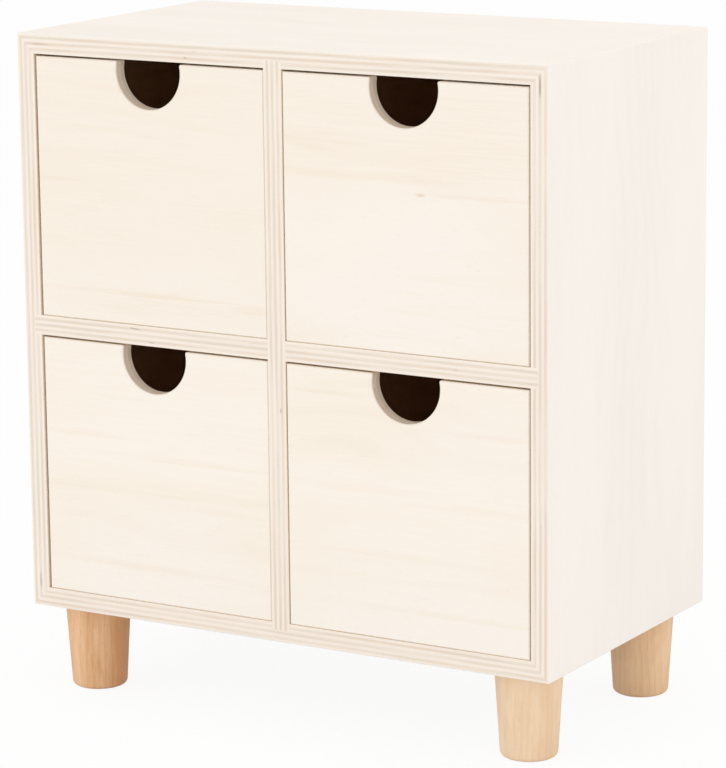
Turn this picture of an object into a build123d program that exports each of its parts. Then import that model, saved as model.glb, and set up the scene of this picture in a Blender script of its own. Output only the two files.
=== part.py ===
"""Four-drawer plywood unit on four turned feet, in millimetres, +Z up.

The origin lies on the floor below the middle of the cabinet. The drawers open towards -Y.
"""
import os

from build123d import *

# Cabinet boards: seven-ply, mitred at the corners
cabinet_width = 240.0
cabinet_depth = 135.0
cabinet_height = 236.0
board = 8.0
edge_ease = 0.5
housing_depth = 3.0  # how far the divider and the shelf are let into the boards

# Back panel, set flush in a rebate and stapled all round
back_thickness = 3.0
back_overlap = 4.0  # width of the rebate
back_play = 0.25
staples_per_edge = 4
staple_crown = 6.0
staple_leg = 13.0
staple_wire_width = 1.2
staple_wire_thickness = 0.6

# Turned feet, each held by one countersunk screw from inside the cabinet
foot_height = 36.0
foot_top_diameter = 27.0
foot_bottom_diameter = 22.5
foot_toe_ease = 1.5
foot_inset = 19.0  # foot axis from the cabinet's outer faces
screw_length = 25.0
screw_diameter = 3.5
screw_point = 5.0
screw_head_diameter = 7.0
screw_head_sink = 0.4
screw_recess_length = 3.8
screw_recess_width = 0.9
screw_recess_depth = 1.4
fastener_play = 0.08  # clearance round a staple or a screw in its hole

# Drawers: notched front, rebated sides and back, bottom held in a groove
front_thickness = 6.0
front_setback = 0.25  # drawer front behind the cabinet's front edges
end_lift = 0.06  # lower edges of the front and the back clear what the sides slide on
front_ease = 0.4
wall_thickness = 5.0
bottom_thickness = 3.0
outer_gap = 0.8  # drawer to side board
inner_gap = 0.3  # drawer to divider
top_gap = 0.9
front_rebate_depth = 3.0  # how far the sides are let into the front
back_rebate_depth = 2.5  # how far the back is let into the sides
groove_depth = 2.5
groove_lift = 4.0  # drawer bottom above the lower edges of the sides
groove_play = 0.15
notch_diameter = 30.0
notch_centre_drop = 3.6  # centre of the finger notch below the front's top edge
notch_mouth_round = 0.8

# Sizes that follow from the ones above
inner_width = cabinet_width - 2 * board
inner_height = cabinet_height - 2 * board
inner_depth = cabinet_depth - back_thickness
bay_width = (inner_width - board) / 2
bay_height = (inner_height - board) / 2
middle_height = foot_height + cabinet_height / 2
front_face = -cabinet_depth / 2
back_face = cabinet_depth / 2
drawer_width = bay_width - outer_gap - inner_gap
drawer_length = inner_depth - front_setback
drawer_height = bay_height - top_gap
drawer_inner_width = drawer_width - 2 * wall_thickness
drawer_inner_length = drawer_length - front_thickness - wall_thickness


def block(x_range, y_range, z_range):
    """A square-edged block between two limits on each axis."""
    (x0, x1), (y0, y1), (z0, z1) = x_range, y_range, z_range
    corner = Pos(x0, y0, z0)
    return corner * Box(x1 - x0, y1 - y0, z1 - z0, align=(Align.MIN, Align.MIN, Align.MIN))


def about(centre, size):
    """The two limits of a size laid evenly about a centre."""
    return centre - size / 2, centre + size / 2


def spread(length, count):
    """Middles of equal stretches of a length, measured from its own middle."""
    step = length / count
    return [step * (index + 0.5) - length / 2 for index in range(count)]


def turned(outline):
    """A solid turned about Z from points (radius, height) that start and end on the axis."""
    return revolve(Plane.XZ * make_face(Polyline(*outline, close=True)), Axis.Z)


def staple(play):
    """A flat-wire staple or, with play, its slot: crown along X with its back at the origin, legs down."""
    half = staple_crown / 2
    across = about(0, staple_wire_width + 2 * play)
    crown = block((-half - play, half + play), across, (-staple_wire_thickness - play, 0))
    leg_run = (-staple_leg - play, 0)
    right_leg = block((half - staple_wire_thickness - play, half + play), across, leg_run)
    left_leg = block((-half - play, staple_wire_thickness + play - half), across, leg_run)
    return crown + right_leg + left_leg


def carcass():
    """The four boards in one, eased on the outside, before the mitres part them."""
    through = about(0, 2 * cabinet_depth)
    whole_height = about(middle_height, cabinet_height)
    blank = block(about(0, cabinet_width), (front_face, back_face), whole_height)
    blank = chamfer(blank.edges(), edge_ease)
    opening = block(about(0, inner_width), through, about(middle_height, inner_height))
    rebate = block(
        about(0, inner_width + 2 * back_overlap),
        (back_face - back_thickness, 2 * back_face),
        about(middle_height, inner_height + 2 * back_overlap),
    )
    divider_housing = block(about(0, board), through, about(middle_height, inner_height + 2 * housing_depth))
    shelf_housing = block(about(0, inner_width + 2 * housing_depth), through, about(middle_height, board))
    return blank - opening - rebate - divider_housing - shelf_housing


def cabinet_boards():
    """Top, right, bottom and left boards, parted on the mitres."""
    x0, x1 = about(0, cabinet_width)
    z0, z1 = about(middle_height, cabinet_height)
    outer = [(x0, z1), (x1, z1), (x1, z0), (x0, z0)]
    inner = [
        (x0 + board, z1 - board),
        (x1 - board, z1 - board),
        (x1 - board, z0 + board),
        (x0 + board, z0 + board),
    ]
    names = ["top_board", "right_side_board", "bottom_board", "left_side_board"]
    ring = carcass()
    boards = {}
    for index, name in enumerate(names):
        following = (index + 1) % len(names)
        section = Polyline(outer[index], outer[following], inner[following], inner[index], close=True)
        wedge = extrude(Plane.XZ * make_face(section), amount=cabinet_depth, both=True)
        boards[name] = ring & wedge
    return boards


def cross_boards():
    """The upright divider and the shelf, half-lapped where they cross: the divider is whole at the front."""
    lap = front_face + inner_depth / 2
    run = (front_face, front_face + inner_depth)
    crossing_x = about(0, board)
    crossing_z = about(middle_height, board)
    upright = about(middle_height, inner_height + 2 * housing_depth)
    level = about(0, inner_width + 2 * housing_depth)
    divider_slot = block(crossing_x, (lap, run[1]), crossing_z)
    shelf_slot = block(crossing_x, (run[0], lap), crossing_z)
    return {
        "vertical_divider": block(crossing_x, run, upright) - divider_slot,
        "horizontal_shelf": block(level, run, crossing_z) - shelf_slot,
    }


def back_panel():
    """Thin panel that fills the rebate, flush with the back edges of the boards."""
    reach = 2 * (back_overlap - back_play)
    return block(
        about(0, inner_width + reach),
        (back_face - back_thickness, back_face),
        about(middle_height, inner_height + reach),
    )


def staple_places():
    """Where the staples go in, in line with the panel's edges, along the middle of its seat."""
    line_x = (inner_width + back_overlap) / 2
    line_z = (inner_height + back_overlap) / 2
    forwards = Pos(0, back_face, middle_height) * Rot(-90, 0, 0)
    places = []
    for side in (-1, 1):
        for x in spread(inner_width, staples_per_edge):
            places.append(forwards * Pos(x, side * line_z, 0))
        for z in spread(inner_height, staples_per_edge):
            places.append(forwards * Pos(side * line_x, z, 0) * Rot(0, 0, 90))
    return places


def foot():
    """A turned foot: straight taper, eased toe, standing on the origin."""
    top = foot_top_diameter / 2
    bottom = foot_bottom_diameter / 2
    cone = turned([(0, 0), (bottom, 0), (top, foot_height), (0, foot_height)])
    toe = cone.edges().group_by(Axis.Z)[0].filter_by(GeomType.CIRCLE)
    return chamfer(toe, foot_toe_ease)


def foot_places():
    """The four foot axes on the floor, named as seen from the front."""
    x = cabinet_width / 2 - foot_inset
    y = cabinet_depth / 2 - foot_inset
    return {
        "foot_front_left": Pos(-x, -y, 0),
        "foot_front_right": Pos(x, -y, 0),
        "foot_back_left": Pos(-x, y, 0),
        "foot_back_right": Pos(x, y, 0),
    }


def foot_screw():
    """A countersunk wood screw with a cross recess, its head just below the bottom board's upper face."""
    head = screw_head_diameter / 2
    shank = screw_diameter / 2
    outline = [
        (0, 0),
        (head, 0),
        (shank, shank - head),
        (shank, -(screw_length - screw_point)),
        (0, -screw_length),
    ]
    reach = (-screw_recess_depth, screw_recess_depth)
    along = about(0, screw_recess_length)
    across = about(0, screw_recess_width)
    recess = block(along, across, reach) + block(across, along, reach)
    return Pos(0, 0, foot_height + board - screw_head_sink) * (turned(outline) - recess)


def foot_screw_hole():
    """Countersunk hole through the bottom board and on into the foot."""
    hole = CounterSinkHole(
        radius=screw_diameter / 2 + fastener_play,
        counter_sink_radius=screw_head_diameter / 2 + fastener_play,
        depth=screw_length + fastener_play,
        counter_sink_angle=90,
    )
    return Pos(0, 0, foot_height + board - screw_head_sink) * hole


def drawer():
    """One drawer's five pieces: front face at y = 0, lower edges of the sides at z = 0."""
    half = drawer_width / 2
    inner_half = drawer_inner_width / 2
    back_start = drawer_length - wall_thickness
    height = (0, drawer_height)
    lifted_height = (end_lift, drawer_height)
    side_run = (front_thickness - front_rebate_depth, drawer_length)
    panel_middle = front_thickness + drawer_inner_length / 2
    panel_width = drawer_inner_width + 2 * groove_depth
    panel_length = drawer_inner_length + 2 * groove_depth
    panel_height = (groove_lift, groove_lift + bottom_thickness)
    panel = block(about(0, panel_width), about(panel_middle, panel_length), panel_height)
    groove = block(
        about(0, panel_width + 2 * groove_play),
        about(panel_middle, panel_length + 2 * groove_play),
        panel_height,
    )

    front = block((-half, half), (0, front_thickness), lifted_height)
    notch_axis = Pos(0, 0, drawer_height - notch_centre_drop) * Rot(90, 0, 0)
    front -= notch_axis * Cylinder(notch_diameter / 2, 4 * front_thickness)
    top_corners = front.edges().filter_by(Axis.Y).group_by(Axis.Z)[-1].sort_by(Axis.X)
    front = fillet(top_corners[1:-1], notch_mouth_round)
    front = chamfer(front.faces().sort_by(Axis.Y)[0].edges(), front_ease)

    right_side = block((inner_half, half), side_run, height)
    left_side = block((-half, -inner_half), side_run, height)
    for side in (right_side, left_side):
        front -= side
    front -= groove

    back_half = inner_half + back_rebate_depth
    back_run = (back_start, drawer_length)
    back_seat = block((-back_half, back_half), back_run, height)
    back = block((-back_half, back_half), back_run, lifted_height)
    return {
        "front": front,
        "left_side": left_side - back_seat - groove,
        "right_side": right_side - back_seat - groove,
        "back": back - groove,
        "bottom": panel,
    }


def drawer_places():
    """Each drawer's place in its bay: closed, resting on the board below and against the back panel."""
    column = board / 2 + inner_gap + drawer_width / 2
    floors = {"bottom": foot_height + board, "top": middle_height + board / 2}
    columns = {"left": -column, "right": column}
    return {
        f"drawer_{row}_{side}": Pos(x, front_face + front_setback, z)
        for row, z in floors.items()
        for side, x in columns.items()
    }


pieces = {**cabinet_boards(), **cross_boards(), "back_panel": back_panel()}

staple_slots = [place * staple(fastener_play) for place in staple_places()]
for name in list(pieces):
    pieces[name] -= staple_slots
pieces["back_panel_staples"] = Compound([place * staple(0) for place in staple_places()])

screw_hole = foot_screw_hole()
drilled_foot = foot() - screw_hole
for name, place in foot_places().items():
    pieces[name] = place * drilled_foot
    pieces["bottom_board"] -= place * screw_hole
pieces["foot_screws"] = Compound([place * foot_screw() for place in foot_places().values()])

drawer_pieces = drawer()
for drawer_name, place in drawer_places().items():
    for piece_name, piece in drawer_pieces.items():
        pieces[f"{drawer_name}_{piece_name}"] = place * piece

os.makedirs("parts", exist_ok=True)
for name, piece in pieces.items():
    export_step(piece, f"parts/{name}.step")
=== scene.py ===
"""Four-drawer plywood unit on turned feet: its finishes, staples and feet, and a plain white studio.

The scene is in metres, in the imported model's own frame: the origin lies on the floor below the middle
of the cabinet, and the drawers open towards -Y. Grain, relief and marks are given in millimetres.
"""
import math

import bmesh
import bpy
from mathutils import Matrix, Vector


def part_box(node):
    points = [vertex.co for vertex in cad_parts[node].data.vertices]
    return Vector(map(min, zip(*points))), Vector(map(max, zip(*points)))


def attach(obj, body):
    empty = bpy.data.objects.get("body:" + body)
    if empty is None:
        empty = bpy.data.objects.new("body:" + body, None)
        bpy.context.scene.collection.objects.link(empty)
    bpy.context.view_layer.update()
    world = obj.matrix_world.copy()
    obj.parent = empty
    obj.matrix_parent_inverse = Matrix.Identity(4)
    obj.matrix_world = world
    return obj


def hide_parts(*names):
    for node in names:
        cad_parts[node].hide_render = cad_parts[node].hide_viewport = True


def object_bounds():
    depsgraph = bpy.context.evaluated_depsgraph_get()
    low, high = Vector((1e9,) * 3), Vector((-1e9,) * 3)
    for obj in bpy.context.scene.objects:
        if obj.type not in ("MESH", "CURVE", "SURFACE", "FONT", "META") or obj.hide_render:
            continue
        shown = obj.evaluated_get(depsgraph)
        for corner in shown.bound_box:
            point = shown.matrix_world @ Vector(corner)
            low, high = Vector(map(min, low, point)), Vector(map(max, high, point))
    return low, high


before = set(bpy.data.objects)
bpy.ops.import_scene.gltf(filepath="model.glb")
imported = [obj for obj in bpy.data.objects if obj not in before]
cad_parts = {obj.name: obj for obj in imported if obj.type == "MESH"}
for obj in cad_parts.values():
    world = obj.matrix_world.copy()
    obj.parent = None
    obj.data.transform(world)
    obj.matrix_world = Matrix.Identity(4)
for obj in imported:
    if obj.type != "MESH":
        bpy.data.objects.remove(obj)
cad_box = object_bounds()


# Cabinet boards: four lengths of pale seven-ply, sawn to mitres and glued into a box, with a cheaper,
# redder veneer on their inner sides. The sawn edges show the plies end on, pale where a ply runs along
# the edge and darker where it is cut across, with a few voids where a core ply has a gap.

X, Y, Z = 0, 1, 2
MM = 0.001


def shade(red, green, blue):
    """A colour as it looks on a screen, 0 to 255, given as linear light."""
    levels = [level / 255 for level in (red, green, blue)]
    linear = [
        level / 12.92 if level <= 0.04045 else ((level + 0.055) / 1.055) ** 2.4
        for level in levels
    ]
    return [*linear, 1.0]


class Finish:
    """A material put together node by node: each method adds nodes and gives back what comes out of them."""

    seed_step = (37.0, 53.0, 71.0)  # millimetres that a pattern moves from one seed to the next
    spot_waver = 0.8  # how far a spot's outline strays, as a share of its reach
    spot_ripple = 1.6  # how many times the outline strays within that reach
    spot_core = 0.25  # how far a spot keeps its full strength, as a share of its reach

    def __init__(self, name):
        self.material = bpy.data.materials.new(name)
        self.material.use_nodes = True
        self.nodes = self.material.node_tree.nodes
        self.links = self.material.node_tree.links
        self.shader = self.nodes["Principled BSDF"]
        coordinates = self.nodes.new("ShaderNodeTexCoord")
        self.position = coordinates.outputs["Object"]
        self.normal = coordinates.outputs["Normal"]

    def put(self, socket, value):
        """Feeds a socket from another node, or sets it to a constant."""
        if isinstance(value, bpy.types.NodeSocket):
            self.links.new(value, socket)
        else:
            socket.default_value = value

    def maths(self, operation, *values):
        """One operation on numbers."""
        node = self.nodes.new("ShaderNodeMath")
        node.operation = operation
        for socket, value in zip(node.inputs, values):
            self.put(socket, value)
        return node.outputs[0]

    def parts(self, vector):
        """The X, Y and Z of a vector."""
        node = self.nodes.new("ShaderNodeSeparateXYZ")
        self.put(node.inputs[0], vector)
        return list(node.outputs)

    def place(self, along=X, stretch=1.0, seed=0.0):
        """The position in millimetres, drawn out along one axis, and moved so that no two boards match."""
        node = self.nodes.new("ShaderNodeMapping")
        scale = [1 / MM] * 3
        scale[along] /= stretch
        self.put(node.inputs["Vector"], self.position)
        self.put(node.inputs["Location"], [step * seed for step in self.seed_step])
        self.put(node.inputs["Scale"], scale)
        return node.outputs[0]

    def noise(self, place, size, detail=2.0, roughness=0.5):
        """Smooth random values from 0 to 1, in patches of about that many millimetres."""
        node = self.nodes.new("ShaderNodeTexNoise")
        self.put(node.inputs["Vector"], place)
        self.put(node.inputs["Scale"], 1 / size)
        self.put(node.inputs["Detail"], detail)
        self.put(node.inputs["Roughness"], roughness)
        return node.outputs[0]

    def rise(self, value, start, end, low=0.0, high=1.0):
        """A soft change from low to high as the value goes from start to end."""
        node = self.nodes.new("ShaderNodeMapRange")
        node.interpolation_type = "SMOOTHSTEP"
        for socket, number in zip(node.inputs, (value, start, end, low, high)):
            self.put(socket, number)
        return node.outputs[0]

    def mix(self, share, first, second):
        """Two numbers mixed by a share."""
        node = self.nodes.new("ShaderNodeMix")
        for index, value in zip((0, 2, 3), (share, first, second)):
            self.put(node.inputs[index], value)
        return node.outputs[0]

    def blend(self, share, first, second, kind="MIX"):
        """Two colours mixed by a share."""
        node = self.nodes.new("ShaderNodeMix")
        node.data_type = "RGBA"
        node.blend_type = kind
        for index, value in zip((0, 6, 7), (share, first, second)):
            self.put(node.inputs[index], value)
        return node.outputs[2]

    def spot(self, centre, reach):
        """1 in the middle of an uneven ellipsoid, fading to 0 outwards; centre and reach are in metres."""
        local = self.nodes.new("ShaderNodeMapping")
        ripple = self.nodes.new("ShaderNodeTexNoise")
        shifted = self.nodes.new("ShaderNodeVectorMath")
        length = self.nodes.new("ShaderNodeVectorMath")
        shifted.operation = "MULTIPLY_ADD"
        length.operation = "LENGTH"
        self.put(local.inputs["Vector"], self.position)
        self.put(local.inputs["Scale"], [1 / size for size in reach])
        middle = [-place / size - self.spot_waver / 2 for place, size in zip(centre, reach)]
        self.put(local.inputs["Location"], middle)
        self.put(ripple.inputs["Vector"], local.outputs[0])
        self.put(ripple.inputs["Scale"], self.spot_ripple)
        self.put(ripple.inputs["Detail"], 1.0)
        self.put(shifted.inputs[0], ripple.outputs["Color"])
        self.put(shifted.inputs[1], [self.spot_waver] * 3)
        self.put(shifted.inputs[2], local.outputs[0])
        self.put(length.inputs[0], shifted.outputs[0])
        return self.rise(length.outputs["Value"], 1.0, self.spot_core)

    def dress(self, colour, roughness, height, depth, gloss=0.3, metal=0.0):
        """Gives the surface its colour, roughness and relief, whose depth is in millimetres."""
        bump = self.nodes.new("ShaderNodeBump")
        self.put(bump.inputs["Strength"], 1.0)
        self.put(bump.inputs["Distance"], depth * MM)
        self.put(bump.inputs["Height"], height)
        self.put(self.shader.inputs["Base Color"], colour)
        self.put(self.shader.inputs["Roughness"], roughness)
        self.put(self.shader.inputs["Normal"], bump.outputs[0])
        self.put(self.shader.inputs["Specular IOR Level"], gloss)
        self.put(self.shader.inputs["Metallic"], metal)
        return self.material


figure_spacing = 2.1  # millimetres for each radian of the figure's waves
figure_wander = 70.0  # millimetres that its lines stray from straight
cloud_tone = 0.36  # how far clouds, fibres and flecks take the veneer from pale to tan
fibre_tone = 0.24
fleck_tone = 0.22
fibre_relief = 0.7  # shares of the depth of relief
fleck_relief = 0.4


def veneer(finish, grain, across, seed, pale, tan, drawn):
    """Peeled face veneer: cloudy tone, a drawn-out figure, fine fibres and short flecks along the grain."""
    cloud = finish.noise(finish.place(grain, 5.0, seed), size=40.0)
    wander = finish.noise(finish.place(grain, 3.0, seed + 1.3), size=46.0, detail=1.0)
    fibre = finish.noise(finish.place(grain, 45.0, seed), size=0.7, detail=3.0, roughness=0.65)
    fleck = finish.noise(finish.place(grain, 9.0, seed + 2.1), size=0.55, detail=1.0)
    straight = finish.maths("DIVIDE", finish.parts(finish.position)[across], MM)
    lines = finish.maths("MULTIPLY_ADD", wander, figure_wander, straight)
    waves = finish.maths("SINE", finish.maths("DIVIDE", lines, figure_spacing))
    figure = finish.maths("MULTIPLY", finish.rise(waves, 0.1, 1.0), finish.rise(cloud, 0.42, 0.62))
    tone = finish.maths("MULTIPLY", figure, drawn)
    tone = finish.maths("MULTIPLY_ADD", finish.rise(cloud, 0.3, 0.75), cloud_tone, tone)
    tone = finish.maths("ADD", tone, finish.rise(fibre, 0.35, 0.8, high=fibre_tone))
    tone = finish.maths("ADD", tone, finish.rise(fleck, 0.66, 0.76, high=fleck_tone))
    pits = finish.rise(fleck, 0.62, 0.76, high=fleck_relief)
    height = finish.maths("SUBTRACT", finish.maths("MULTIPLY", fibre, fibre_relief), pits)
    return finish.blend(tone, pale, tan), height


ply_void = shade(96, 74, 58)
ply_waver = 0.26  # how far a glue line strays, in plies
pore_tone = 0.2
void_tone = 0.35
cross_sink = 0.35  # how far the cut plies lie below the others, as a share of the depth of relief
streak_relief = 0.3
pore_relief = 0.3


def sawn_edge(finish, through, grain, start, ply, seed, pale, dark, rosy):
    """A sawn edge: pale plies that run along it, duller ones cut across with open pores, and rare voids."""
    deep = finish.maths("SUBTRACT", finish.parts(finish.position)[through], start)
    waver = finish.noise(finish.place(grain, 2.0, seed + 3.7), size=9.0, detail=1.0)
    level = finish.maths("MULTIPLY_ADD", waver, ply_waver, finish.maths("DIVIDE", deep, ply))
    wave = finish.maths("PINGPONG", finish.maths("ADD", level, 0.5 - ply_waver / 2), 1.0)
    crossed = finish.rise(wave, 0.82, 0.2)
    streak = finish.noise(finish.place(grain, 60.0, seed), size=0.8, detail=3.0, roughness=0.6)
    pore = finish.noise(finish.place(through, 2.0, seed), size=0.32)
    patch = finish.noise(finish.place(grain, 22.0, seed + 5.2), size=1.8)
    cast = finish.noise(finish.place(grain, 14.0, seed + 6.6), size=2.6, detail=1.0)
    long_ply = finish.blend(finish.rise(streak, 0.3, 0.75, high=0.35), pale, dark)
    cross_tone = finish.rise(patch, 0.3, 0.7, low=0.4, high=1.1)
    cross_tone = finish.maths("MULTIPLY_ADD", finish.rise(pore, 0.4, 0.7), pore_tone, cross_tone)
    cross_ply = finish.blend(cross_tone, pale, finish.blend(finish.rise(cast, 0.45, 0.65), dark, rosy))
    gap = finish.noise(finish.place(grain, 9.0, seed + 8.4), size=1.1, detail=0.0)
    gap = finish.maths("MULTIPLY", finish.rise(gap, 0.86, 0.9), crossed)
    colour = finish.blend(crossed, long_ply, cross_ply)
    colour = finish.blend(finish.maths("MULTIPLY", gap, void_tone), colour, ply_void)
    height = finish.maths("MULTIPLY", streak, streak_relief)
    height = finish.maths("MULTIPLY_ADD", crossed, -cross_sink, height)
    height = finish.maths("MULTIPLY_ADD", pore, pore_relief, height)
    height = finish.maths("SUBTRACT", height, gap)
    return colour, height


LOWER, UPPER = -1, 1  # the two broad sides of a sheet, on the axis through it
squarely = 0.5  # how far a surface has to face along that axis to be a broad side
sanding_fade = 0.8  # where the lining starts to show, as a share of the width that is sanded
plywood_relief = 0.06


def plywood(node, grain, plies, seed, face, edge, marks=(), lining=None, sanded=0.0):
    """Gives a sheet its plywood: veneer on its two broad sides, plies on every sawn edge and in every cut.

    The lining is for the side turned inwards: which one it is, and the cast of its veneer. It is sanded off
    for so many millimetres from the front edge.
    """
    low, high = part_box(node)
    size = high - low
    through = min((X, Y, Z), key=lambda axis: size[axis])
    across = ({X, Y, Z} - {grain, through}).pop()
    finish = Finish(f"{node}_plywood")
    face_colour, face_height = veneer(finish, grain, across, seed, *face)
    ply = size[through] / plies
    edge_colour, edge_height = sawn_edge(finish, through, grain, low[through], ply, seed, *edge)
    facing = finish.parts(finish.normal)[through]
    on_face = finish.maths("GREATER_THAN", finish.maths("ABSOLUTE", facing), squarely)
    colour = finish.blend(on_face, edge_colour, face_colour)
    if lining:
        side, cast = lining
        turned_in = finish.maths("GREATER_THAN", finish.maths("MULTIPLY", facing, side), squarely)
        if sanded:
            behind = finish.maths("SUBTRACT", finish.parts(finish.position)[Y], low[Y])
            left_on = finish.rise(behind, sanding_fade * sanded * MM, sanded * MM)
            turned_in = finish.maths("MULTIPLY", turned_in, left_on)
        colour = finish.blend(turned_in, colour, cast, "MULTIPLY")
    ragged = finish.rise(face_height, 0.15, 0.5, low=0.35)
    for centre, reach, stain, strength in marks:
        spot = finish.maths("MULTIPLY", finish.spot(centre, reach), ragged)
        colour = finish.blend(finish.maths("MULTIPLY", spot, strength), colour, stain)
    height = finish.mix(on_face, edge_height, face_height)
    roughness = finish.rise(height, -0.6, 0.6, low=0.72, high=0.5)
    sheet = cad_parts[node]
    sheet.data.materials[0] = finish.dress(colour, roughness, height, plywood_relief)


mark_depth = 3.0


def marks_on(node, stain, places):
    """Marks on a piece's front. Each place holds, in millimetres, how far the middle of the mark is from the
    piece's left end and from its foot, half its width and half its height, and then its strength."""
    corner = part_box(node)[0]
    marks = []
    for from_left, up, half_width, half_height, strength in places:
        centre = corner + Vector((from_left, 0.0, up)) * MM
        reach = Vector((half_width, mark_depth, half_height)) * MM
        marks.append((centre, reach, stain, strength))
    return marks


board_plies = 7
board_face = shade(249, 243, 236), shade(241, 233, 224), 0.1
top_face = shade(249, 242, 233), shade(241, 232, 221), 0.1
board_edge = shade(248, 238, 226), shade(230, 217, 201), shade(233, 214, 195)
rough_veneer = shade(251, 240, 224)
red_veneer = shade(250, 192, 144)
red_underside = LOWER, red_veneer
edge_sanding = 7.0
top_voids = marks_on("top_board", ply_void, [(10.0, 4.0, 7.0, 0.7, 0.4), (80.0, 2.0, 1.1, 0.6, 0.6)])
left_voids = marks_on("left_side_board", ply_void, [(4.0, 10.5, 0.7, 5.5, 0.45)])
right_voids = marks_on("right_side_board", ply_void, [(4.0, 227.5, 0.7, 6.5, 0.45)])
plywood("top_board", X, board_plies, 1.0, top_face, board_edge, top_voids, red_underside, edge_sanding)
plywood("bottom_board", X, board_plies, 2.0, board_face, board_edge, [], (UPPER, rough_veneer))
plywood("left_side_board", Z, board_plies, 3.0, board_face, board_edge, left_voids, (UPPER, rough_veneer))
plywood("right_side_board", Z, board_plies, 4.0, board_face, board_edge, right_voids, (LOWER, rough_veneer))


# Divider and shelf: two more lengths of the seven-ply, half-lapped where they cross and glued into
# housings in the four boards. The divider is whole at the front, so its plies run past the shelf's.

inner_face = shade(246, 232, 211), shade(236, 217, 192), 0.15
divider_voids = marks_on("vertical_divider", ply_void, [(5.7, 89.0, 0.7, 1.6, 0.4)])
plywood("vertical_divider", Z, board_plies, 5.0, inner_face, board_edge, divider_voids)
plywood("horizontal_shelf", X, board_plies, 6.0, inner_face, board_edge, [], red_underside, edge_sanding)


# Back panel: one sheet of thin three-ply, flush in the rebate behind the boards.
# It is a plainer veneer, a little darker and more open than the boards.

sheet_plies = 3
sheet_face = shade(240, 227, 206), shade(221, 201, 172), 0.3
sheet_edge = shade(232, 217, 196), shade(196, 174, 146), shade(202, 170, 140)
plywood("back_panel", Z, sheet_plies, 7.0, sheet_face, sheet_edge, [], (LOWER, rough_veneer))


# Back panel staples: flat galvanised wire, bent square and shot through the panel into the boards.
# Their crowns lie flush with the panel, in line with its edges, four to an edge.

staples_per_edge = 4
staple_crown = 6.0 * MM
staple_leg = 13.0 * MM
staple_wire_width = 1.2 * MM
staple_wire_thickness = 0.6 * MM
staple_wire_round = 0.12 * MM
staple_wire_round_steps = 2
staple_bend = 0.7 * MM
staple_bend_steps = 4
staple_corners = 4  # the points of its two legs and the two ends of its crown
zinc_bright = shade(176, 178, 178)
zinc_dull = shade(128, 130, 132)


def wire_finish():
    """Zinc skin on drawn wire: fine lines along the crown and dull patches."""
    finish = Finish("galvanised_wire_finish")
    drawn = finish.noise(finish.place(X, 12.0, seed=1.0), size=0.2)
    patch = finish.noise(finish.place(), size=1.1, detail=3.0)
    colour = finish.blend(patch, zinc_bright, zinc_dull)
    roughness = finish.rise(patch, 0.3, 0.7, low=0.32, high=0.55)
    return finish.dress(colour, roughness, drawn, depth=0.02, gloss=0.5, metal=1.0)


def staple_tree(material):
    """Geometry nodes that bend one staple from its sizes and set a copy on each point of the mesh given."""
    tree = bpy.data.node_groups.new("staples_on_points", "GeometryNodeTree")
    tree.interface.new_socket("Geometry", in_out="INPUT", socket_type="NodeSocketGeometry")
    sizes = {
        name: tree.interface.new_socket(name, in_out="INPUT", socket_type="NodeSocketFloat").identifier
        for name in ("Crown", "Leg", "Wire Width", "Wire Thickness", "Wire Round", "Bend")
    }
    tree.interface.new_socket("Geometry", in_out="OUTPUT", socket_type="NodeSocketGeometry")

    def add(kind, inputs, **settings):
        node = tree.nodes.new(kind)
        for name, value in settings.items():
            setattr(node, name, value)
        for name, value in inputs.items():
            if isinstance(value, bpy.types.NodeSocket):
                tree.links.new(value, node.inputs[name])
            else:
                node.inputs[name].default_value = value
        return node.outputs

    def maths(operation, first, second=0.0):
        return add("ShaderNodeMath", {0: first, 1: second}, operation=operation)[0]

    def fillet(curve, steps, radius):
        inputs = {"Curve": curve, "Count": steps, "Radius": radius}
        return add("GeometryNodeFilletCurve", inputs, mode="POLY")[0]

    given = tree.nodes.new("NodeGroupInput").outputs
    index = add("GeometryNodeInputIndex", {})[0]
    from_middle = maths("SUBTRACT", index, (staple_corners - 1) / 2)
    at_point = maths("GREATER_THAN", maths("ABSOLUTE", from_middle), 1.0)
    across = maths("MULTIPLY", maths("SIGN", from_middle), maths("MULTIPLY", given["Crown"], 0.5))
    down = maths("MULTIPLY", at_point, maths("MULTIPLY", given["Leg"], -1.0))
    corner = add("ShaderNodeCombineXYZ", {"X": across, "Z": down})[0]
    line = add("GeometryNodeMeshLine", {"Count": staple_corners})[0]
    square = add("GeometryNodeSetPosition", {"Geometry": line, "Position": corner})[0]
    curve = add("GeometryNodeMeshToCurve", {"Mesh": square})[0]
    bent = fillet(curve, staple_bend_steps, given["Bend"])
    section = add(
        "GeometryNodeCurvePrimitiveQuadrilateral",
        {"Width": given["Wire Thickness"], "Height": given["Wire Width"]},
    )[0]
    soft_section = fillet(section, staple_wire_round_steps, given["Wire Round"])
    wire = add(
        "GeometryNodeCurveToMesh",
        {"Curve": bent, "Profile Curve": soft_section, "Fill Caps": True},
    )[0]
    turn = add("GeometryNodeInputNamedAttribute", {"Name": "turn"}, data_type="FLOAT")[0]
    angles = add("ShaderNodeCombineXYZ", {"X": -math.pi / 2, "Y": turn})[0]
    rotation = add("FunctionNodeEulerToRotation", {0: angles})[0]
    copies = add(
        "GeometryNodeInstanceOnPoints",
        {"Points": given["Geometry"], "Instance": wire, "Rotation": rotation},
    )[0]
    whole = add("GeometryNodeRealizeInstances", {"Geometry": copies})[0]
    coated = add("GeometryNodeSetMaterial", {"Geometry": whole, "Material": material})[0]
    tree.links.new(coated, tree.nodes.new("NodeGroupOutput").inputs["Geometry"])
    return tree, sizes


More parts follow.
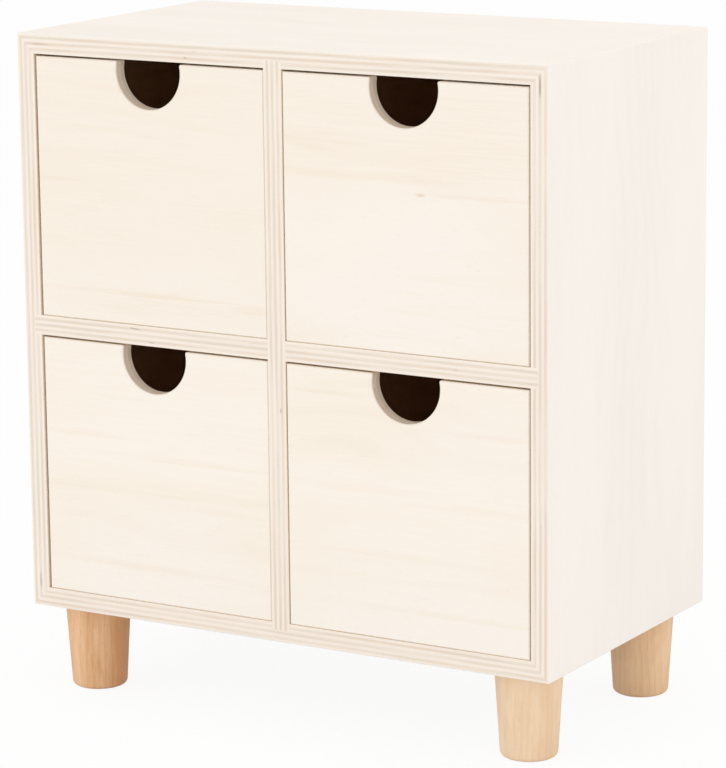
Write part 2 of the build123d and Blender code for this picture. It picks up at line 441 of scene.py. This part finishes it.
def staple_points():
    """Where the crowns lie, as a mesh of loose points that carry the turn of their edge."""
    panel_low, panel_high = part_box("back_panel")
    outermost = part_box("back_panel_staples")[1]
    middle = (panel_low[Z] + panel_high[Z]) / 2
    depth = panel_high[Y] - staple_wire_thickness / 2
    out_sideways = outermost[X] - staple_wire_width / 2
    out_upright = outermost[Z] - staple_wire_width / 2 - middle
    inner_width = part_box("right_side_board")[0][X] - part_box("left_side_board")[1][X]
    inner_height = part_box("top_board")[0][Z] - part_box("bottom_board")[1][Z]
    places, turns = [], []
    for count in range(staples_per_edge):
        share = (count + 0.5) / staples_per_edge - 0.5
        for side in (-1, 1):
            places.append((inner_width * share, depth, middle + side * out_upright))
            turns.append(0.0)
            places.append((side * out_sideways, depth, middle + inner_height * share))
            turns.append(math.pi / 2)
    mesh = bpy.data.meshes.new("staple_points")
    mesh.from_pydata(places, [], [])
    mesh.attributes.new("turn", "FLOAT", "POINT").data.foreach_set("value", turns)
    return mesh


def shoot_staples():
    """The sixteen staples as one plain mesh."""
    tree, sizes = staple_tree(wire_finish())
    maker = bpy.data.objects.new("staple_maker", staple_points())
    bpy.context.scene.collection.objects.link(maker)
    modifier = maker.modifiers.new("staples", "NODES")
    modifier.node_group = tree
    modifier[sizes["Crown"]] = staple_crown - staple_wire_thickness
    modifier[sizes["Leg"]] = staple_leg - staple_wire_thickness / 2
    modifier[sizes["Wire Width"]] = staple_wire_width
    modifier[sizes["Wire Thickness"]] = staple_wire_thickness
    modifier[sizes["Wire Round"]] = staple_wire_round
    modifier[sizes["Bend"]] = staple_bend
    made = maker.evaluated_get(bpy.context.evaluated_depsgraph_get())
    mesh = bpy.data.meshes.new_from_object(made)
    bpy.data.objects.remove(maker)
    mesh.name = "wire_staples"
    staples = bpy.data.objects.new("wire_staples", mesh)
    bpy.context.scene.collection.objects.link(staples)
    return staples


wire_staples = shoot_staples()
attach(wire_staples, "cabinet")
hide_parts("back_panel_staples")


# Feet: four tapered beech feet, turned between centres with the grain upright, the toe rounded over.
# Each is drilled from above for its screw. They are cut from different billets, so their tones differ.

foot_bottom_radius = 11.25 * MM
foot_toe_round = 2.2 * MM
foot_arris = 0.35 * MM
foot_bore_radius = 1.83 * MM
foot_bore_depth = 17.1 * MM
foot_facets = 96
round_steps = 8
merge_distance = 0.001 * MM
sharp_corner = math.radians(35)


def rounded(corner, before, after, radius):
    """Points of the arc that rounds a corner of an outline between the two points beside it."""
    corner, before, after = (Vector((*point, 0.0)) for point in (corner, before, after))
    back, on = (before - corner).normalized(), (after - corner).normalized()
    half = back.angle(on) / 2
    centre = corner + (back + on).normalized() * radius / math.sin(half)
    first = corner + back * radius / math.tan(half) - centre
    last = corner + on * radius / math.tan(half) - centre
    shares = [step / round_steps for step in range(round_steps + 1)]
    return [(centre + first.slerp(last, share) * radius)[:2] for share in shares]


def foot_outline(top_radius, height):
    """Half the foot's section, as radius and height, from the middle of its toe to the bottom of its bore."""
    sole = (0.0, 0.0)
    toe = (foot_bottom_radius, 0.0)
    shoulder = (top_radius, height)
    rim = (foot_bore_radius, height)
    bore_bottom = height - foot_bore_depth
    return [
        sole,
        *rounded(toe, sole, shoulder, foot_toe_round),
        *rounded(shoulder, toe, rim, foot_arris),
        rim,
        (foot_bore_radius, bore_bottom),
        (0.0, bore_bottom),
    ]


def lathe(name, outline, axis):
    """A solid turned about an upright axis, smooth but for its sharp corners."""
    mesh = bpy.data.meshes.new(name)
    shape = bmesh.new()
    path = [shape.verts.new((radius, 0.0, height)) for radius, height in outline]
    edges = [shape.edges.new(pair) for pair in zip(path, path[1:])]
    bmesh.ops.spin(
        shape,
        geom=path + edges,
        cent=(0, 0, 0),
        axis=(0, 0, 1),
        angle=2 * math.pi,
        steps=foot_facets,
        use_merge=True,
    )
    bmesh.ops.remove_doubles(shape, verts=shape.verts, dist=merge_distance)
    bmesh.ops.recalc_face_normals(shape, faces=shape.faces)
    for face in shape.faces:
        face.smooth = True
    for edge in shape.edges:
        edge.smooth = edge.calc_face_angle(0.0) < sharp_corner
    bmesh.ops.translate(shape, vec=axis, verts=shape.verts)
    shape.to_mesh(mesh)
    shape.free()
    piece = bpy.data.objects.new(name, mesh)
    bpy.context.scene.collection.objects.link(piece)
    return piece


ring_width = 2.4 * MM
ring_sway = 1.3  # how far the rings stray, in rings
ring_sharpness = 2.5  # how late in each ring the wood darkens
ring_tone = 0.22  # how far late wood, clouds, fibres and flecks take the beech from pale to deep
beech_cloud_tone = 0.5
beech_fibre_tone = 0.24
beech_fleck_tone = 0.25
beech_fleck_relief = 0.5
# The darker heartwood is partly painted shade: on the front-left foot it darkens the right side, which lies
# in shade.
heart_and_shade_edge = 46 * MM  # where the darker heartwood starts and where it is full, from the pith
heart_and_shade_full = 20 * MM


def beech(name, axis, pith, heart_and_shade, seed, pale, deep):
    """Solid beech: growth rings about a pith beside the foot, darker heartwood near the pith that is partly
    painted shade, and fibres and dark flecks up the grain.
    """
    finish = Finish(name)
    x, y = finish.parts(finish.position)[X:Z]
    sway = finish.noise(finish.place(Z, 4.0, seed), size=9.0, detail=1.0)
    away_x = finish.maths("SUBTRACT", x, axis[X] + pith[X] * MM)
    away_y = finish.maths("SUBTRACT", y, axis[Y] + pith[Y] * MM)
    squares = finish.maths("ADD", finish.maths("POWER", away_x, 2.0), finish.maths("POWER", away_y, 2.0))
    radius = finish.maths("SQRT", squares)
    rings = finish.maths("MULTIPLY_ADD", sway, ring_sway, finish.maths("DIVIDE", radius, ring_width))
    late = finish.maths("POWER", finish.maths("FRACT", rings), ring_sharpness)
    fibre = finish.noise(finish.place(Z, 40.0, seed), size=0.5, detail=3.0, roughness=0.6)
    cloud = finish.noise(finish.place(Z, 3.0, seed + 1.0), size=8.0)
    fleck = finish.noise(finish.place(Z, 7.0, seed + 2.0), size=0.35, detail=1.0)
    flecks = finish.rise(fleck, 0.64, 0.74)
    tone = finish.rise(cloud, 0.25, 0.75, high=beech_cloud_tone)
    tone = finish.maths("MULTIPLY_ADD", late, ring_tone, tone)
    tone = finish.maths("MULTIPLY_ADD", finish.rise(fibre, 0.3, 0.75), beech_fibre_tone, tone)
    tone = finish.maths("MULTIPLY_ADD", flecks, beech_fleck_tone, tone)
    # Darker towards the pith: partly heartwood and partly painted shade, set on the front-left foot's shaded
    # right side.
    tone = finish.maths("ADD", tone, finish.rise(radius, heart_and_shade_edge, heart_and_shade_full, high=heart_and_shade))
    colour = finish.blend(tone, pale, deep)
    upright = finish.maths("ABSOLUTE", finish.parts(finish.normal)[Z])
    on_end = finish.rise(upright, 0.75, 0.98)
    colour = finish.blend(on_end, colour, deep, "MULTIPLY")
    roughness = finish.rise(fibre, 0.2, 0.8, low=0.5, high=0.62)
    height = finish.maths("MULTIPLY_ADD", flecks, -beech_fleck_relief, fibre)
    return finish.dress(colour, roughness, height, depth=0.05, gloss=0.35)


# For each foot: its pith in millimetres from its axis, its share of darker heartwood and painted shade, and
# its pale and deep wood.
foot_woods = {
    "foot_front_left": ((28.0, 17.0), 0.75, shade(244, 204, 164), shade(211, 156, 106)),
    "foot_front_right": ((30.0, 16.0), 0.25, shade(247, 222, 191), shade(230, 196, 158)),
    "foot_back_left": ((22.0, -27.0), 0.3, shade(238, 202, 161), shade(212, 169, 123)),
    "foot_back_right": ((-28.0, -17.0), 0.15, shade(241, 208, 170), shade(216, 173, 129)),
}
for count, (node, (pith, heart_and_shade, pale, deep)) in enumerate(foot_woods.items()):
    low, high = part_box(node)
    axis = Vector(((low[X] + high[X]) / 2, (low[Y] + high[Y]) / 2, low[Z]))
    outline = foot_outline(top_radius=(high[X] - low[X]) / 2, height=high[Z] - low[Z])
    turned_foot = lathe(f"turned_{node}", outline, axis)
    wood = beech(f"{node}_beech", axis, pith, heart_and_shade, 11.0 + count, pale, deep)
    turned_foot.data.materials.append(wood)
    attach(turned_foot, "cabinet")
    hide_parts(node)


# Foot screws: countersunk wood screws driven down through the bottom board, one into each foot.
# Bright zinc plate, scuffed by the driver, with a faint warm and cool cast.

plate_cool = shade(196, 198, 204)
plate_warm = shade(206, 200, 184)
plate_scuffed = shade(140, 140, 142)


def plate_finish():
    """Zinc plate: a slow drift from cool to warm under small scuffs."""
    finish = Finish("zinc_plate_finish")
    scuff = finish.noise(finish.place(), size=0.5, detail=3.0)
    cast = finish.noise(finish.place(seed=4.0), size=2.5, detail=1.0)
    plate = finish.blend(cast, plate_cool, plate_warm)
    colour = finish.blend(finish.rise(scuff, 0.5, 0.7, high=0.5), plate, plate_scuffed)
    roughness = finish.rise(scuff, 0.3, 0.7, low=0.22, high=0.42)
    return finish.dress(colour, roughness, scuff, depth=0.02, gloss=0.5, metal=1.0)


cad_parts["foot_screws"].data.materials[0] = plate_finish()


# Drawers: four boxes of thin ply, each behind a five-ply front with a round finger notch sawn in its
# top edge. The sides are glued into the front, the back into the sides, the bottom into a groove.
# Every piece is pale outside, with a cheaper, redder veneer on its inner side.

front_plies = 5
wall_plies = 3
front_tan = shade(244, 231, 212)
front_drawn = 0.18
front_edge = shade(246, 234, 217), shade(233, 216, 194), shade(236, 212, 188)
wall_face = shade(242, 226, 202), shade(228, 205, 173), 0.25
wall_edge = shade(240, 224, 199), shade(214, 187, 153), shade(220, 184, 150)
inner_veneer = shade(252, 227, 206)
inside_upper = UPPER, inner_veneer
inside_lower = LOWER, inner_veneer
# Paler tone for broad patches, mostly over the lower part of a front.
pale_patch_tone = shade(250, 243, 236)
figure_tan = shade(233, 211, 178)
knot_brown = shade(205, 160, 116)

# For each front: its pale veneer, and then its broad paler patches, mostly over its lower part, its tan
# figure in lines and broader patches, and its knots, each as marks_on takes them.
fronts = {
    "drawer_top_left": {
        "pale": shade(248, 239, 228),
        "pale_patches": [],
        "figure": [
            (48.0, 12.5, 56.0, 1.6, 0.3),
            (53.5, 8.5, 58.0, 8.0, 0.13),
            (100.5, 10.5, 12.0, 3.0, 0.26),
            (6.5, 56.5, 20.0, 1.4, 0.2),
        ],
        "knots": [],
    },
    "drawer_top_right": {
        "pale": shade(249, 240, 229),
        "pale_patches": [(53.5, 23.0, 90.0, 52.0, 0.75)],
        "figure": [
            (36.5, 67.0, 60.0, 3.0, 0.2),
            (85.5, 62.0, 36.0, 1.8, 0.22),
            (15.0, 80.0, 30.0, 6.0, 0.14),
            (75.0, 82.0, 70.0, 26.0, 0.14),
        ],
        "knots": [(60.5, 61.5, 2.6, 1.3, 0.32)],
    },
    "drawer_bottom_left": {
        "pale": shade(250, 242, 231),
        "pale_patches": [(53.5, 14.5, 90.0, 36.0, 0.75)],
        "figure": [
            (17.0, 67.0, 24.0, 2.4, 0.17),
            (66.5, 60.0, 56.0, 2.0, 0.13),
            (38.5, 45.0, 40.0, 2.0, 0.12),
            (83.5, 41.0, 34.0, 1.8, 0.13),
            (45.0, 14.5, 60.0, 1.8, 0.2),
        ],
        "knots": [],
    },
    "drawer_bottom_right": {
        "pale": shade(250, 242, 231),
        "pale_patches": [(53.5, 12.5, 90.0, 36.0, 0.7), (85.5, 79.0, 50.0, 26.0, 0.6)],
        "figure": [
            (14.0, 95.5, 30.0, 1.8, 0.19),
            (90.0, 85.0, 34.0, 1.8, 0.17),
            (30.0, 59.0, 40.0, 2.6, 0.11),
            (83.5, 55.5, 36.0, 2.2, 0.11),
            (43.0, 33.5, 60.0, 2.0, 0.12),
            (75.0, 12.5, 52.0, 2.0, 0.17),
        ],
        "knots": [],
    },
}
for count, (drawer, front) in enumerate(fronts.items()):
    seed = 21.0 + count
    node = f"{drawer}_front"
    marks = [
        *marks_on(node, pale_patch_tone, front["pale_patches"]),
        *marks_on(node, figure_tan, front["figure"]),
        *marks_on(node, knot_brown, front["knots"]),
    ]
    front_face = front["pale"], front_tan, front_drawn
    plywood(node, X, front_plies, seed, front_face, front_edge, marks, inside_upper)
    plywood(f"{drawer}_left_side", Y, wall_plies, seed + 10.0, wall_face, wall_edge, [], inside_upper)
    plywood(f"{drawer}_right_side", Y, wall_plies, seed + 20.0, wall_face, wall_edge, [], inside_lower)
    plywood(f"{drawer}_back", X, wall_plies, seed + 30.0, wall_face, wall_edge, [], inside_lower)
    plywood(f"{drawer}_bottom", Y, sheet_plies, seed + 40.0, wall_face, wall_edge, [], inside_upper)


# Studio: a white floor that keeps a soft shadow, a white surround and three large soft lamps.
# The camera stands front right, a little above the unit, with a long lens.

floor_half = 5.0
floor_white = shade(250, 250, 250)
floor_roughness = 0.9
floor_glow_share = 0.9
surround_white = shade(255, 255, 255)
surround_light = 0.9


def seen_directly(nodes, links):
    """1 for what the camera sees itself, in a reflection or through glass, and 0 for light on its way."""
    path = nodes.new("ShaderNodeLightPath")
    seen = path.outputs["Is Camera Ray"]
    for kind in ("Is Glossy Ray", "Is Transmission Ray"):
        either = nodes.new("ShaderNodeMath")
        either.operation = "MAXIMUM"
        links.new(seen, either.inputs[0])
        links.new(path.outputs[kind], either.inputs[1])
        seen = either.outputs[0]
    return seen


def floor_paint():
    """Matt white that the camera sees mostly as plain white, with a little of its own light and shadow."""
    material = bpy.data.materials.new("floor_white")
    material.use_nodes = True
    nodes, links = material.node_tree.nodes, material.node_tree.links
    paint = nodes["Principled BSDF"]
    paint.inputs["Base Color"].default_value = floor_white
    paint.inputs["Roughness"].default_value = floor_roughness
    paint.inputs["Specular IOR Level"].default_value = 0.0
    glow = nodes.new("ShaderNodeEmission")
    glow_share = nodes.new("ShaderNodeMath")
    glow_share.operation = "MULTIPLY"
    glow_share.inputs[1].default_value = floor_glow_share
    links.new(seen_directly(nodes, links), glow_share.inputs[0])
    both = nodes.new("ShaderNodeMixShader")
    links.new(glow_share.outputs[0], both.inputs[0])
    links.new(paint.outputs[0], both.inputs[1])
    links.new(glow.outputs[0], both.inputs[2])
    links.new(both.outputs[0], nodes["Material Output"].inputs["Surface"])
    return material


def white_surround():
    """A white world, a little dimmer as light than as background."""
    world = bpy.data.worlds.new("white_surround")
    world.use_nodes = True
    nodes, links = world.node_tree.nodes, world.node_tree.links
    lit = nodes["Background"]
    lit.inputs["Color"].default_value = surround_white
    lit.inputs["Strength"].default_value = surround_light
    shown = nodes.new("ShaderNodeBackground")
    shown.inputs["Color"].default_value = surround_white
    both = nodes.new("ShaderNodeMixShader")
    links.new(seen_directly(nodes, links), both.inputs[0])
    links.new(lit.outputs[0], both.inputs[1])
    links.new(shown.outputs[0], both.inputs[2])
    links.new(both.outputs[0], nodes["World Output"].inputs["Surface"])
    return world


near, far = -floor_half, floor_half
floor_mesh = bpy.data.meshes.new("floor")
floor_corners = [(near, near, 0.0), (far, near, 0.0), (far, far, 0.0), (near, far, 0.0)]
floor_mesh.from_pydata(floor_corners, [], [(0, 1, 2, 3)])
floor_mesh.materials.append(floor_paint())
floor = bpy.data.objects.new("floor", floor_mesh)
bpy.context.scene.collection.objects.link(floor)
bpy.context.scene.world = white_surround()

# For each lamp: where it stands and its width, in metres, and its power in watts.
soft_lamps = {
    "front_left_softbox": ((-1.1, -1.5, 1.0), 1.2, 4.0),
    "right_softbox": ((1.7, -0.5, 0.9), 1.2, 3.4),
    "top_softbox": ((0.0, 0.2, 1.9), 1.4, 1.4),
}
middle = (cad_box[0] + cad_box[1]) / 2
for name, (position, size, power) in soft_lamps.items():
    lamp = bpy.data.lights.new(name, "AREA")
    lamp.shape = "SQUARE"
    lamp.size = size
    lamp.energy = power
    softbox = bpy.data.objects.new(name, lamp)
    bpy.context.scene.collection.objects.link(softbox)
    softbox.location = position
    softbox.rotation_euler = (middle - Vector(position)).to_track_quat("-Z", "Y").to_euler()

camera_sensor = 36.0
camera_lens = 169.69
camera_azimuth = 30.80
camera_elevation = 12.025
camera_roll = -0.629
camera_aim = Vector((0.0, -1.94, 128.24)) * MM
camera_distance = 1468.7 * MM

camera = bpy.data.objects.new("camera", bpy.data.cameras.new("camera"))
bpy.context.scene.collection.objects.link(camera)
bpy.context.scene.camera = camera
camera.data.sensor_width = camera_sensor
camera.data.lens = camera_lens
turn = Matrix.Rotation(math.radians(camera_azimuth), 4, "Z")
tilt = Matrix.Rotation(math.radians(90 - camera_elevation), 4, "X")
roll = Matrix.Rotation(math.radians(camera_roll), 4, "Z")
back_off = Matrix.Translation((0, 0, camera_distance))
camera.matrix_world = Matrix.Translation(camera_aim) @ turn @ tilt @ roll @ back_off

bpy.context.scene.view_settings.view_transform = "Standard"
